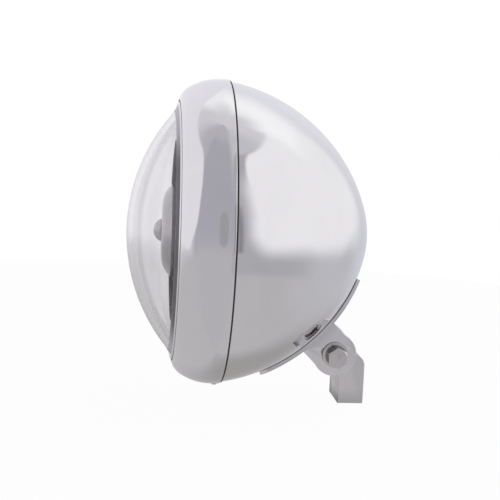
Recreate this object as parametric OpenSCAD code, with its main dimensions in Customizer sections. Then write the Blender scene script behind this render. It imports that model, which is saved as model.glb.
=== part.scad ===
/* [Bucket] */
// Outer radius of the bucket at its shoulder, next to the seam
bucket_r = 96.6; // [94:0.1:100]
// How far past the lamp's axis the flank's long curve has its centre
flank_over = 16.5; // [15:0.1:18]
// Angle at which the flank leaves the shoulder
flank_angle = 9; // [7:0.5:11]
// Radius of the rear dome
dome_r = 65; // [62:0.5:68]
// Thickness of the bucket's steel
bucket_t = 1.2; // [1:0.1:1.6]
// Inward step from the shoulder to the neck
neck_step = 1.2; // [1:0.1:1.6]
// Length of the neck in front of the seam
neck_len = 10; // [9.5:0.1:10.5]
// Width of the flange turned in at the neck's front edge
neck_flange = 4; // [3:0.1:4.5]

/* [Trim ring] */
// How far the trim ring stands out past the bucket's shoulder
ring_stand = 1.1; // [0.9:0.1:1.6]
// Thickness of the trim ring's steel
ring_t = 1.2; // [1:0.1:1.4]
// Length of the ring's straight skirt
skirt_len = 5.5; // [5:0.1:6.5]
// Radius of the ring's long shoulder curve
shoulder_r = 36; // [34:0.5:38]
// Angle that the long shoulder curve turns through
shoulder_angle = 33; // [30:1:36]
// Radius of the ring's tight front curve
nose_r = 13.2; // [12.5:0.1:15]
// Radius of the rolled bead round the lens opening
bead_r = 1.4; // [1.2:0.1:1.6]
// Gap of the seam between the ring and the bucket
seam_gap = 1; // [0.6:0.1:1.4]
// Distance of the trim screw in front of the seam's middle
trim_screw_f = 2.6; // [2.5:0.1:4]
// Turn of the trim screw round the lamp's axis, from the bottom
trim_screw_turn = 8; // [0:1:12]
// Radius of the trim screw's shank
trim_screw_r = 1.25; // [1.05:0.05:1.4]

/* [Lens and reflector] */
// Height of the lens above the ring's bead
lens_rise = 29.9; // [27:0.1:31]
// Depth of the dome's edge below the top of the bead
lens_sink = 0.4; // [0:0.1:1]
// Thickness of the lens glass
lens_t = 3.5; // [3:0.1:4]
// Thickness of the rubber seal on the lens flange
seal_t = 2.1; // [1.6:0.1:2.6]
// Width of the lens flange outside the dome
lens_flange = 7.4; // [6.8:0.1:7.8]
// Focal length of the reflector
focal = 24; // [23:0.5:26]
// Thickness of the reflector's steel
reflector_t = 0.8; // [0.6:0.1:1]
// Radius of the bulb hole in the reflector
bulb_hole_r = 19; // [18:0.1:19.5]
// Length of the collar behind the bulb hole
collar_len = 5.8; // [5:0.1:6.5]
// Thickness of the retaining ring and of its feet
retainer_t = 1; // [0.8:0.1:1.2]

/* [Bulb] */
// Radius of the bulb's glass
glass_r = 8.6; // [8:0.1:9]
// Length of the bulb in front of its flange
bulb_len = 54; // [48:0.5:58]
// Thickness of the bulb's glass
glass_t = 1; // [0.8:0.1:1.2]
// Radius of the metal cup that holds the glass
ferrule_r = 11; // [10.4:0.1:12]
// Length of the metal cup
ferrule_len = 14; // [12:0.5:16]
// Radius of the bulb's flange
bulb_flange_r = 21.5; // [20.6:0.1:22]
// Radius of the bulb's insulated rear body
socket_r = 13.5; // [12.5:0.1:14]
// Length of the bulb's insulated rear body
socket_len = 13; // [11:0.5:14]
// Width of a terminal blade
blade_w = 7.8; // [6.3:0.1:7.8]
// Thickness of a terminal blade
blade_t = 0.8; // [0.8:0.1:1]
// Length of a terminal blade
blade_len = 11; // [9:0.5:13]
// Wall of the rubber boot
boot_t = 2; // [1.6:0.1:2.4]

/* [Bulb shield] */
// Radius of the shield dish
dish_r = 29.5; // [27:0.5:31]
// Radius of the curve of the dish's raised ring
dish_curve = 19.5; // [18:0.5:21]
// Radius at which the raised ring stands highest
ridge_r = 15.5; // [14.5:0.1:16.5]
// Height of the raised ring above the ring's bead
ridge_rise = 7.5; // [5:0.1:9]
// Radius of the rounded cap in the middle of the dish
cap_r = 8; // [7:0.1:9]
// Height of the rounded cap above its seat
cap_h = 6.6; // [5:0.1:8]
// Thickness of the shield's steel
shield_t = 0.8; // [0.6:0.1:1]
// Width of a shield leg
leg_w = 6; // [5:0.1:8]

/* [Wire exit] */
// Turn of the wire exit round the lamp's axis
grommet_turn = -138; // [-150:1:-120]
// Angle of the wire exit round the flank, from the seam plane
grommet_angle = 52; // [48:1:56]
// Outer radius of the grommet
grommet_r = 11; // [10:0.1:12]
// Radius of the hole that the grommet fills
grommet_hole_r = 8; // [7:0.1:9]
// Length of the grommet
grommet_t = 5; // [4:0.1:6]
// Radius of the grommet's bore for the wires
wire_bore_r = 4; // [3:0.1:5]

/* [Mount on the bucket] */
// Angle of the mount's axis round the flank, from the seam plane
mount_angle = 45.1; // [43:0.1:47]
// Distance from the bucket's surface to the pivot
pivot_standoff = 16.2; // [16:0.1:18]
// Thickness of the rubber pad under the saddle
pad_t = 0.5; // [0.4:0.1:0.8]
// Thickness of the saddle plate
saddle_t = 2.3; // [2:0.1:2.5]
// Width of the saddle plate
saddle_w = 42; // [41:0.5:46]
// Reach of the saddle plate towards the seam
saddle_fore = 43.5; // [42:0.5:46]
// Reach of the saddle plate towards the rear
saddle_aft = 44; // [42:0.5:46]
// Corner radius of the saddle plate
saddle_corner = 6; // [3:0.5:9]
// Thickness of the plate inside the bucket
backing_t = 1.5; // [1:0.1:2.5]
// Radius of a saddle stud
stud_r = 3; // [2.5:0.1:3]
// Angle from the mount's axis to each stud
stud_angle = 13; // [12:0.1:14]
// Width across the flats of a stud nut
stud_nut_af = 10; // [9:0.1:11]
// Height of a stud nut
stud_nut_h = 5; // [4:0.1:6]

/* [Pivot] */
// Width of the stem block along the pivot
stem_w = 28.4; // [27:0.1:31]
// Side gap between the stem and each ear
side_gap = 0.3; // [0.2:0.05:0.4]
// Thickness of each ear
ear_t = 4; // [3:0.1:5]
// Half of the width of an ear's arm
ear_half = 13.7; // [13:0.1:14]
// Radius of an ear's round end
ear_r = 14.3; // [14:0.1:14.8]
// Radius of the pivot bolt
bolt_r = 4; // [3.5:0.1:4.2]
// Running clearance of the bolt in the stem
bore_fit = 0.05; // [0.03:0.01:0.08]
// Clearance of the bolt in the ears and washers
hole_fit = 0.1; // [0.1:0.05:0.3]
// Width across the flats of the bolt head and nut
bolt_af = 12; // [11:0.1:13]
// Height of the bolt head
bolt_head_h = 7.5; // [5:0.1:8]
// Height of the pivot nut
bolt_nut_h = 6.5; // [5.5:0.1:7]
// Turn of the bolt head's corners round the pivot
bolt_turn = 26; // [0:1:59]
// Radius of a flat washer
washer_r = 8.5; // [8:0.1:9]
// Thickness of a flat washer
washer_t = 1.6; // [1.2:0.1:2]
// Thickness of the spring washer
spring_t = 2; // [1.6:0.1:2.2]

/* [Stem block] */
// Thickness of the stem block from front to rear
stem_t = 17.1; // [15:0.1:18]
// Height of the pivot above the mounting face
pivot_h = 33.6; // [31:0.1:36]
// Distance of the pivot in front of the stem's middle
pivot_fore = 12.6; // [11:0.1:13.5]
// Radius of the stem's round end
eye_r = 12.8; // [12.5:0.1:13.1]
// Distance of the stem's sloping shoulder from the mount's axis
arm_half = 11.4; // [10.5:0.1:12]
// Radius of the fillet between the round end and the front face
stem_fillet = 6.5; // [5:0.1:8]
// Bevel on the stem's rear shoulder
shoulder_bevel = 2; // [1:0.1:3]
// Radius of the threaded hole in the mounting face
thread_r = 4.25; // [4:0.05:4.5]
// Depth of the threaded hole
thread_depth = 18; // [14:0.5:19]

/* [Hidden] */

$fn = 96;
// Cut-outs run this far past the faces that they open
over = 1;
// A small clearance between pieces that are assembled and then stay put
fit = 0.1;
// Segments in a long arc and in a short one
long_n = 18;
short_n = 8;
// Length of the drill that opens holes in thin walls
punch_h = 10;

// Lamp axis coordinates are a radius and a distance forward of the seam
shoulder_f = -seam_gap / 2;
flank_r = (bucket_r + flank_over) / cos(flank_angle);
flank_back = -flank_r * sin(flank_angle);
dome_back = flank_back + sqrt(pow(flank_r - dome_r, 2) - pow(flank_over, 2));
tangent_angle = atan2(dome_back - flank_back, flank_over);
neck_r = bucket_r - neck_step;
neck_flange_r = neck_r - neck_flange;

ring_r = bucket_r + ring_stand;
ring_rear_f = seam_gap / 2;
nose_c = [ring_r - shoulder_r + (shoulder_r - nose_r) * cos(shoulder_angle),
          skirt_len + (shoulder_r - nose_r) * sin(shoulder_angle)];
bead_c = [nose_c[0] + bead_r / 3, nose_c[1] + nose_r - bead_r / 2];
bead_top_f = bead_c[1] + bead_r;
opening_r = bead_c[0] - bead_r;

lens_top_f = bead_top_f + lens_rise;
lens_gap = 1.3;
lens_dome_r = opening_r - lens_gap;
lens_dome_h = lens_rise + lens_sink;
lens_sphere_r = (lens_dome_r * lens_dome_r + lens_dome_h * lens_dome_h) / (2 * lens_dome_h);
lens_flange_r = lens_dome_r + lens_flange;
lens_flange_f = bead_c[1] - bead_r - seal_t - fit;
unit_f = lens_flange_f - lens_t;
lens_inner_r = lens_dome_r - lens_t;
mouth_r = lens_inner_r + 1.6;
vertex_f = unit_f - mouth_r * mouth_r / (4 * focal);
crimp_r = lens_flange_r + reflector_t + fit;

retainer_f = unit_f - reflector_t - retainer_t;
retainer_drop = 5.8;
foot_f = retainer_f - retainer_drop;
lug_t = 2.8;
lug_w = 9;
foot_out_r = ring_r - ring_t - 2.8;
screw_at_r = (crimp_r + retainer_t + foot_out_r + 1) / 2;
screw_r = 2;
screw_clear = 0.2;
screw_hole_r = screw_r + screw_clear;
trim_hole_r = trim_screw_r + screw_clear;
screw_head_r = 3.4;
screw_head_h = 2.2;

collar_f = vertex_f + bulb_hole_r * bulb_hole_r / (4 * focal) - collar_len;
bulb_flange_t = 1.2;
flange_back_f = collar_f - bulb_flange_t;
socket_back_f = flange_back_f - socket_len;
glass_f = collar_f + ferrule_len;
glass_tip_f = collar_f + bulb_len;

ridge_f = bead_top_f + ridge_rise;
dish_c = [ridge_r, ridge_f - dish_curve];
dish_seat_f = dish_c[1] + sqrt(dish_curve * dish_curve - pow(ridge_r - cap_r, 2));
dish_edge_a = acos((dish_r - ridge_r) / dish_curve);
dish_edge_f = dish_c[1] + dish_curve * sin(dish_edge_a);
dish_wall = 3;

pivot_y = -pivot_fore;
pivot_z = pivot_h;
pivot_arc = flank_r + pivot_standoff;
seam_y = pivot_y - (flank_back + pivot_arc * sin(mount_angle) - shoulder_f);
axis_z = pivot_z - flank_over + pivot_arc * cos(mount_angle);
saddle_out = pad_t + saddle_t;
stud_hole_r = stud_r + 0.4;
stud_washer_r = 6;
stud_washer_t = 1.4;
boss_h = 0.7;
backing_top = -bucket_t - fit;
nut_seat = backing_t + boss_h + stud_washer_t - backing_top;
bottom = -90;

ear_x = stem_w / 2 + side_gap;
ear_out_x = ear_x + ear_t;
head_x = ear_out_x + washer_t + spring_t;
nut_x = ear_out_x + washer_t;
bolt_past = 2.2;

// Points of the bucket's flank and dome, moved outwards by a distance
function flank_pt(a, off) = [(flank_r + off) * cos(a) - flank_over,
                             shoulder_f - flank_back - (flank_r + off) * sin(a)];
function dome_pt(a, off) = [(dome_r + off) * cos(a),
                            shoulder_f - dome_back - (dome_r + off) * sin(a)];
function flank_curve(off, from = flank_angle) =
    [for (i = [0:long_n]) flank_pt(from + (tangent_angle - from) * i / long_n, off)];
function shell_curve(off, from = flank_angle) =
    concat(flank_curve(off, from),
           [for (i = [1:short_n]) dome_pt(tangent_angle + (90 - tangent_angle) * i / short_n, off)]);
function reversed(list) = [for (i = [len(list) - 1:-1:0]) list[i]];
function arc(c, r, from, to, n) =
    [for (i = [0:n]) let (a = from + (to - from) * i / n) [c[0] + r * cos(a), c[1] + r * sin(a)]];

// Points of the trim ring's outside, or of its inside when off is its thickness
function ring_curve(off) =
    concat([[ring_r - off, ring_rear_f]],
           arc([ring_r - shoulder_r, skirt_len], shoulder_r - off, 0, shoulder_angle, long_n / 2),
           arc(nose_c, nose_r - off, shoulder_angle, 90, short_n));

// A point of the reflector's paraboloid, moved back along its normal
function mirror_pt(r, off) =
    let (slope = r / (2 * focal), n = sqrt(1 + slope * slope))
    [r + off * slope / n, vertex_f + r * r / (4 * focal) - off / n];
function mirror_curve(off, from, to) =
    [for (i = [0:long_n]) mirror_pt(from + (to - from) * i / long_n, off)];

// The lamp's own frame: its Z runs forward along the lamp's axis, from the seam
module lamp() {
    translate([0, seam_y, axis_z]) rotate([90, 0, 0]) children();
}

module revolve(points) {
    rotate_extrude() polygon(points);
}

// A place on the bucket's flank, with Z along the outward normal and the surface at zero
module on_flank(angle, turn) {
    rotate([0, 0, turn]) translate([-flank_over, 0, shoulder_f - flank_back])
        rotate([0, 90 + angle, 0]) translate([0, 0, flank_r]) children();
}

// The mount's own frame: origin at the pivot, Z towards the bucket, X along the pivot
module at_mount() {
    translate([0, pivot_y, pivot_z]) rotate([mount_angle, 0, 0]) children();
}

// A plate drawn in Y and Z and given its thickness along X
module plate(x, t) {
    translate([x, 0, 0]) rotate([90, 0, 90]) linear_extrude(t) children();
}

module rounded_rect(x0, x1, y0, y1, r) {
    translate([x0 + r, y0]) square([x1 - x0 - 2 * r, y1 - y0]);
    translate([x0, y0 + r]) square([x1 - x0, y1 - y0 - 2 * r]);
    for (x = [x0 + r, x1 - r]) {
        for (y = [y0 + r, y1 - r]) {
            translate([x, y]) circle(r);
        }
    }
}

// A hexagonal head with its outer corners turned down, standing on Z zero
module hex_head(af, h, ends = 1) {
    corner = af / (2 * cos(30));
    bevel = corner - af / 2 * 0.95;
    drop = bevel * 0.5;
    low = ends == 2 ? drop : 0;
    intersection() {
        cylinder(h = h, r = corner, $fn = 6);
        revolve([[0, 0], [low > 0 ? corner - bevel : corner, 0], [corner, low],
                 [corner, h - drop], [corner - bevel, h], [0, h]]);
    }
}

// A drill through a thin wall, centred on Z zero
module punch(r) {
    translate([0, 0, -punch_h / 2]) cylinder(h = punch_h, r = r);
}

module ring(r_in, r_out, h) {
    difference() {
        cylinder(h = h, r = r_out);
        translate([0, 0, -over]) cylinder(h = h + 2 * over, r = r_in);
    }
}

// The space between two curves that follow the bucket's outside, off0 the inner one
module shell_band(off0, off1) {
    revolve(concat(shell_curve(off1), reversed(shell_curve(off0))));
}

// Everything on the lamp's axis side of a curve that follows the bucket's outside
module shell_core(off) {
    revolve(concat([[0, flank_pt(flank_angle, off)[1]]], shell_curve(off)));
}

// A rounded outline on the lower flank, seen along the mount's axis
module mount_outline(half_w, fore, aft, corner) {
    on_flank(mount_angle, bottom) translate([0, 0, -fore / 2]) linear_extrude(fore)
        rotate([0, 0, 90]) rounded_rect(-half_w, half_w, -aft, fore, corner);
}

module at_studs() {
    for (side = [-1, 1]) {
        on_flank(mount_angle + side * stud_angle, bottom) children();
    }
}

module bucket() {
    inner_from = asin((bucket_t - flank_back) / (flank_r - bucket_t));
    color("gainsboro") lamp() difference() {
        revolve(concat([[neck_r, shoulder_f]], shell_curve(0),
                       reversed(shell_curve(-bucket_t, inner_from)),
                       [[neck_r - bucket_t, shoulder_f - bucket_t],
                        [neck_r - bucket_t, neck_len - bucket_t],
                        [neck_flange_r, neck_len - bucket_t],
                        [neck_flange_r, neck_len],
                        [neck_r, neck_len]]));
        at_studs() punch(stud_hole_r);
        on_flank(grommet_angle, grommet_turn) punch(grommet_hole_r);
        trim_screw_place() punch(trim_hole_r);
    }
}

// The trim screw's place near the bottom of the skirt, Z outwards and the skirt at zero
module trim_screw_place() {
    rotate([0, 0, bottom + trim_screw_turn]) translate([ring_r, 0, trim_screw_f])
        rotate([0, 90, 0]) children();
}

module rim_gasket() {
    sleeve_r = ring_r - ring_t - fit;
    front_f = neck_len - 3;
    color("dimgray") lamp() difference() {
        revolve([[neck_r, shoulder_f], [ring_r - ring_t / 2, shoulder_f],
                 [ring_r - ring_t / 2, ring_rear_f], [sleeve_r, ring_rear_f],
                 [sleeve_r, front_f], [neck_r, front_f]]);
        trim_screw_place() punch(trim_hole_r);
    }
}

module trim_ring() {
    color("gainsboro") lamp() difference() {
        rotate_extrude() {
            polygon(concat(ring_curve(0), reversed(ring_curve(ring_t))));
            translate(bead_c) circle(bead_r, $fn = 32);
        }
        trim_screw_place() punch(trim_hole_r);
    }
}

// All the room inside the trim ring's skin
module inside_ring() {
    revolve(concat([[0, ring_rear_f]], ring_curve(ring_t), [[0, nose_c[1] + nose_r - ring_t]]));
}

module trim_hook() {
    hook_w = 12;
    hook_t = 1.2;
    front_f = neck_len + 2.4;
    rear_f = neck_len - bucket_t - 2.6;
    leg_r = neck_flange_r - 0.8 - hook_t;
    toe_r = neck_flange_r + 1.6;
    tab_r = ring_r - 3.6;
    tab_up = 4;
    color("silver") lamp() intersection() {
        rotate([0, 0, 90]) rotate([90, 0, 0]) translate([0, 0, -hook_w / 2])
            linear_extrude(hook_w) polygon([
                [leg_r, rear_f], [toe_r, rear_f], [toe_r, rear_f + hook_t],
                [leg_r + hook_t, rear_f + hook_t], [leg_r + hook_t, front_f - hook_t],
                [ring_r, front_f - hook_t], [ring_r, front_f + tab_up],
                [tab_r, front_f + tab_up], [tab_r, front_f], [leg_r, front_f]]);
        inside_ring();
    }
}

module trim_screw() {
    reach = 8;
    tip = 0.4;
    head_r = 2;
    head_h = 1.5;
    color("silver") lamp() trim_screw_place()
        revolve([[0, -reach], [trim_screw_r - tip, -reach], [trim_screw_r, tip - reach],
                 [trim_screw_r, 0], [head_r, 0], [head_r, head_h * 0.4],
                 [head_r * 0.6, head_h * 0.85], [0, head_h]]);
}

module trim_nut() {
    nut_w = 5;
    nut_h = 2.5;
    top = neck_r - bucket_t - fit - ring_r;
    color("silver") lamp() trim_screw_place() difference() {
        translate([-nut_w / 2, -nut_w / 2, top - nut_h]) cube([nut_w, nut_w, nut_h]);
        translate([0, 0, top - nut_h - over]) cylinder(h = nut_h + 2 * over, r = trim_screw_r + bore_fit);
    }
}

module lens() {
    sphere_f = lens_top_f - lens_sphere_r;
    inner_sphere_r = lens_sphere_r - lens_t;
    edge_a = acos(lens_dome_r / lens_sphere_r);
    inner_a = acos(lens_inner_r / inner_sphere_r);
    color("aliceblue", 0.4) lamp()
        revolve(concat([[lens_flange_r, unit_f], [lens_flange_r, lens_flange_f],
                        [lens_dome_r, lens_flange_f]],
                       arc([0, sphere_f], lens_sphere_r, edge_a, 90, long_n),
                       arc([0, sphere_f], inner_sphere_r, 90, inner_a, long_n),
                       [[lens_inner_r, unit_f]]));
}

module lens_seal() {
    color("dimgray") lamp() translate([0, 0, lens_flange_f])
        ring(opening_r + 0.2, lens_flange_r - 1, seal_t);
}

module reflector() {
    crimp_up = 0.4;
    color("silver") lamp()
        revolve(concat([[bulb_hole_r, collar_f]],
                       mirror_curve(0, bulb_hole_r, mouth_r),
                       [[lens_flange_r + fit, unit_f], [lens_flange_r + fit, lens_flange_f + crimp_up],
                        [crimp_r, lens_flange_f + crimp_up], [crimp_r, unit_f - reflector_t],
                        [mouth_r + 1, unit_f - reflector_t]],
                       reversed(mirror_curve(reflector_t, bulb_hole_r + reflector_t, mouth_r - 0.3)),
                       [[bulb_hole_r + reflector_t, collar_f]]));
}

module at_lugs() {
    for (turn = [45:90:315]) {
        rotate([0, 0, turn]) translate([screw_at_r, 0, 0]) children();
    }
}

module retaining_ring() {
    wall_in = crimp_r + 0.3;
    wall_out = wall_in + retainer_t;
    color("silver") lamp() difference() {
        revolve([[mouth_r + 3.2, retainer_f + retainer_t], [mouth_r + 3.2, retainer_f],
                 [wall_in, retainer_f], [wall_in, foot_f], [foot_out_r, foot_f],
                 [foot_out_r, foot_f + retainer_t], [wall_out, foot_f + retainer_t],
                 [wall_out, retainer_f + retainer_t]]);
        at_lugs() translate([0, 0, foot_f - over])
            cylinder(h = retainer_t + 2 * over, r = screw_hole_r);
    }
}

module ring_lugs() {
    inner = screw_r + 0.8;
    color("silver") lamp() intersection() {
        at_lugs() translate([0, 0, foot_f + retainer_t]) difference() {
            translate([-inner, -lug_w / 2, 0])
                cube([inner + ring_r - screw_at_r, lug_w, lug_t]);
            translate([0, 0, -over]) cylinder(h = lug_t + 2 * over, r = screw_r + bore_fit);
        }
        inside_ring();
    }
}

module retaining_screws() {
    reach = retainer_t + lug_t + 0.8;
    color("gray") lamp() at_lugs() translate([0, 0, foot_f])
        revolve([[0, -screw_head_h], [screw_head_r * 0.6, -screw_head_h],
                 [screw_head_r, -screw_head_h * 0.4], [screw_head_r, 0], [screw_r, 0],
                 [screw_r, reach], [0, reach]]);
}

module bulb_glass() {
    color("aliceblue", 0.5) lamp()
        revolve(concat([[glass_r, glass_f], [glass_r, glass_tip_f - glass_r]],
                       arc([0, glass_tip_f - glass_r], glass_r, 0, 90, short_n),
                       arc([0, glass_tip_f - glass_r], glass_r - glass_t, 90, 0, short_n),
                       [[glass_r - glass_t, glass_f]]));
}

module bulb_filaments() {
    post_r = 0.5;
    post_x = 4;
    coil_r = 0.9;
    low = 10;
    high = 25;
    color("gray") lamp() translate([0, 0, glass_f]) {
        for (x = [-post_x, post_x]) {
            translate([x, 0, 0]) cylinder(h = high + 1, r = post_r, $fn = 24);
        }
        cylinder(h = low + 1, r = post_r, $fn = 24);
        translate([-post_x - post_r, 0, high]) rotate([0, 90, 0])
            cylinder(h = 2 * (post_x + post_r), r = coil_r, $fn = 24);
        translate([-post_r, 0, low]) rotate([0, 90, 0])
            cylinder(h = post_x + 2 * post_r, r = coil_r, $fn = 24);
    }
}

module bulb_base() {
    color("silver") lamp()
        revolve([[0, socket_back_f], [socket_r, socket_back_f], [socket_r, flange_back_f],
                 [bulb_flange_r, flange_back_f], [bulb_flange_r, collar_f], [ferrule_r, collar_f],
                 [ferrule_r, glass_f - 2], [glass_r + 0.6, glass_f], [0, glass_f]]);
}

module bulb_terminals() {
    blade_ring = 7;
    color("silver") lamp() translate([0, 0, socket_back_f - blade_len]) {
        for (turn = [0, 90, 180]) {
            rotate([0, 0, turn]) translate([blade_ring, -blade_w / 2, 0])
                cube([blade_t, blade_w, blade_len]);
        }
    }
}

module bulb_clip() {
    wire_r = 0.9;
    hoop_r = 17;
    arm_x = 4;
    arm_len = 7.2;
    color("silver") lamp() translate([0, 0, flange_back_f - wire_r]) {
        rotate_extrude() translate([hoop_r, 0]) circle(wire_r, $fn = 24);
        for (x = [-arm_x, arm_x]) {
            translate([x, 1 - hoop_r - arm_len, 0]) rotate([-90, 0, 0])
                cylinder(h = arm_len, r = wire_r, $fn = 24);
        }
    }
}

module bulb_boot() {
    lip_out = 4.5;
    lip_r = bulb_flange_r + lip_out;
    seat_pt = mirror_pt(lip_r, reflector_t + fit);
    seat_in = mirror_pt(lip_r - boot_t, reflector_t + fit);
    waist_r = lip_r + 0.8;
    waist_f = flange_back_f - 3.4;
    neck_f = waist_f - 5;
    end_f = socket_back_f + 1;
    color("dimgray") lamp()
        revolve([seat_in, seat_pt, [waist_r, waist_f], [socket_r + boot_t, neck_f],
                 [socket_r + boot_t, end_f], [socket_r + fit, end_f],
                 [socket_r + fit, neck_f + boot_t], [waist_r - boot_t, waist_f + boot_t]]);
}

module shield_dish() {
    seat_a = 180 - acos((ridge_r - cap_r) / dish_curve);
    color("silver") lamp()
        revolve(concat([[0, dish_seat_f]],
                       arc(dish_c, dish_curve, seat_a, dish_edge_a, long_n),
                       [[dish_r, dish_edge_f - dish_wall], [dish_r - shield_t, dish_edge_f - dish_wall]],
                       arc(dish_c, dish_curve - shield_t, dish_edge_a + 2, seat_a, long_n),
                       [[0, dish_seat_f - shield_t]]));
}

module shield_cap() {
    rim_r = cap_r - 0.4;
    inner_r = rim_r - shield_t;
    function bullet(r, h) = [for (i = [0:short_n]) let (a = 90 * i / short_n)
                             [r * cos(a), dish_seat_f + h * sin(a)]];
    color("silver") lamp()
        revolve(concat(bullet(rim_r, cap_h), reversed(bullet(inner_r, cap_h * inner_r / rim_r))));
}

module shield_legs() {
    leg_t = 1;
    leg_in = dish_r - shield_t - fit - 0.6 - leg_t;
    top_f = dish_edge_f - 1.5;
    color("silver") lamp() intersection() {
        for (turn = [30:120:270]) {
            rotate([0, 0, turn]) translate([leg_in, -leg_w / 2, vertex_f])
                cube([leg_t, leg_w, top_f - vertex_f]);
        }
        revolve(concat([[0, top_f + over], [0, vertex_f]],
                       mirror_curve(0, 0.5, mouth_r), [[mouth_r, top_f + over]]));
    }
}

module wire_grommet() {
    color("dimgray") lamp() difference() {
        on_flank(grommet_angle, grommet_turn) translate([0, 0, -(bucket_t + grommet_t) / 2])
            cylinder(h = grommet_t, r = grommet_r);
        difference() {
            shell_band(-bucket_t - fit / 2, fit / 2);
            on_flank(grommet_angle, grommet_turn) punch(grommet_hole_r - fit);
        }
        on_flank(grommet_angle, grommet_turn) punch(wire_bore_r);
    }
}

module saddle_pad() {
    inset = 0.6;
    color("dimgray") lamp() difference() {
        intersection() {
            shell_band(0, pad_t);
            mount_outline(saddle_w / 2 - inset, saddle_fore - inset, saddle_aft - inset,
                          saddle_corner - inset);
        }
        at_studs() punch(stud_hole_r);
    }
}

module saddle_plate() {
    socket = 1.2;
    color("gainsboro") lamp() difference() {
        intersection() {
            shell_band(pad_t, saddle_out);
            mount_outline(saddle_w / 2, saddle_fore, saddle_aft, saddle_corner);
        }
        at_studs() translate([0, 0, pad_t - over]) cylinder(h = over + socket, r = stud_r + bore_fit);
    }
}

module saddle_studs() {
    top = pad_t + 1;
    tip = 0.6;
    reach = nut_seat + stud_nut_h + 3.4;
    color("silver") lamp() at_studs()
        revolve([[0, top], [stud_r, top], [stud_r, tip - reach], [stud_r - tip, -reach],
                 [0, -reach]]);
}

module backing_plate() {
    boss_r = 7.2;
    side_in = 6;
    end_in = 9.8;
    color("silver") lamp() difference() {
        union() {
            intersection() {
                shell_band(backing_top - backing_t, backing_top);
                mount_outline(saddle_w / 2 - side_in, saddle_fore - end_in, saddle_aft - end_in,
                              saddle_corner);
            }
            intersection() {
                at_studs() translate([0, 0, backing_top - backing_t - boss_h])
                    cylinder(h = backing_t + 2 * boss_h, r = boss_r);
                shell_core(backing_top);
            }
        }
        at_studs() punch(stud_hole_r);
    }
}

module stud_washers() {
    color("silver") lamp() at_studs() translate([0, 0, -nut_seat])
        ring(stud_r + bore_fit, stud_washer_r, stud_washer_t);
}

module stud_nuts() {
    color("silver") lamp() at_studs() translate([0, 0, -nut_seat - stud_nut_h]) difference() {
        hex_head(stud_nut_af, stud_nut_h, 2);
        translate([0, 0, -over]) cylinder(h = stud_nut_h + 2 * over, r = stud_r + bore_fit);
    }
}

module pivot_ears() {
    root = 4;
    arm_len = pivot_standoff + root;
    color("gainsboro") difference() {
        at_mount() for (x = [-ear_out_x, ear_x]) {
            plate(x, ear_t) difference() {
                union() {
                    circle(ear_r);
                    translate([-ear_half, 0]) square([2 * ear_half, arm_len]);
                }
                circle(bolt_r + hole_fit);
            }
        }
        lamp() shell_core(saddle_out);
    }
}

module pivot_bolt() {
    color("silver") translate([0, pivot_y, pivot_z]) {
        translate([head_x, 0, 0]) rotate([0, 90, 0]) rotate([0, 0, 90 - bolt_turn])
            hex_head(bolt_af, bolt_head_h);
        translate([-nut_x - bolt_nut_h - bolt_past, 0, 0]) rotate([0, 90, 0])
            cylinder(h = head_x + nut_x + bolt_nut_h + bolt_past + 0.5, r = bolt_r);
    }
}

module pivot_washers() {
    color("silver") translate([0, pivot_y, pivot_z]) {
        for (x = [ear_out_x, -ear_out_x - washer_t]) {
            translate([x, 0, 0]) rotate([0, 90, 0]) ring(bolt_r + hole_fit, washer_r, washer_t);
        }
    }
}

module spring_washer() {
    split = 1.2;
    out_r = bolt_r + 3;
    color("silver") translate([ear_out_x + washer_t, pivot_y, pivot_z]) rotate([0, 90, 0])
        difference() {
            ring(bolt_r + hole_fit, out_r, spring_t);
            rotate([0, 0, 200]) translate([0, -split / 2, -over])
                cube([out_r + over, split, spring_t + 2 * over]);
        }
}

module pivot_nut() {
    color("silver") translate([-nut_x, pivot_y, pivot_z]) rotate([0, -90, 0]) difference() {
        rotate([0, 0, bolt_turn]) hex_head(bolt_af, bolt_nut_h, 1);
        translate([0, 0, -over]) cylinder(h = bolt_nut_h + 2 * over, r = bolt_r + bore_fit);
    }
}

module stem_block() {
    front = -stem_t / 2;
    rear = stem_t / 2;
    slope = tan(mount_angle);
    top_y = pivot_y + arm_half * cos(mount_angle);
    top_z = pivot_z + arm_half * sin(mount_angle);
    rear_z = top_z - (rear - top_y) / slope;
    fillet_y = front - stem_fillet;
    fillet_z = pivot_z - sqrt(pow(eye_r + stem_fillet, 2) - pow(fillet_y - pivot_y, 2));
    color("gainsboro") difference() {
        plate(-stem_w / 2, stem_w) difference() {
            union() {
                translate([pivot_y, pivot_z]) circle(eye_r);
                polygon([[front, 0], [rear, 0], [rear, rear_z - shoulder_bevel],
                         [rear - shoulder_bevel * 0.5, rear_z + shoulder_bevel * 0.5 / slope],
                         [top_y, top_z], [pivot_y, pivot_z], [fillet_y, fillet_z],
                         [front, fillet_z]]);
            }
            translate([fillet_y, fillet_z]) circle(stem_fillet);
            translate([pivot_y, pivot_z]) circle(bolt_r + bore_fit);
        }
        translate([0, 0, -over]) cylinder(h = thread_depth + over, r = thread_r);
    }
}

bucket();
rim_gasket();
trim_ring();
trim_hook();
trim_screw();
trim_nut();
lens();
lens_seal();
reflector();
retaining_ring();
ring_lugs();
retaining_screws();
bulb_glass();
bulb_filaments();
bulb_base();
bulb_terminals();
bulb_clip();
bulb_boot();
shield_dish();
shield_cap();
shield_legs();
wire_grommet();
saddle_pad();
saddle_plate();
saddle_studs();
backing_plate();
stud_washers();
stud_nuts();
pivot_ears();
pivot_bolt();
pivot_washers();
spring_washer();
pivot_nut();
stem_block();
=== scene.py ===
import math

import bmesh
import bpy
from mathutils import Matrix, Vector


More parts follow.
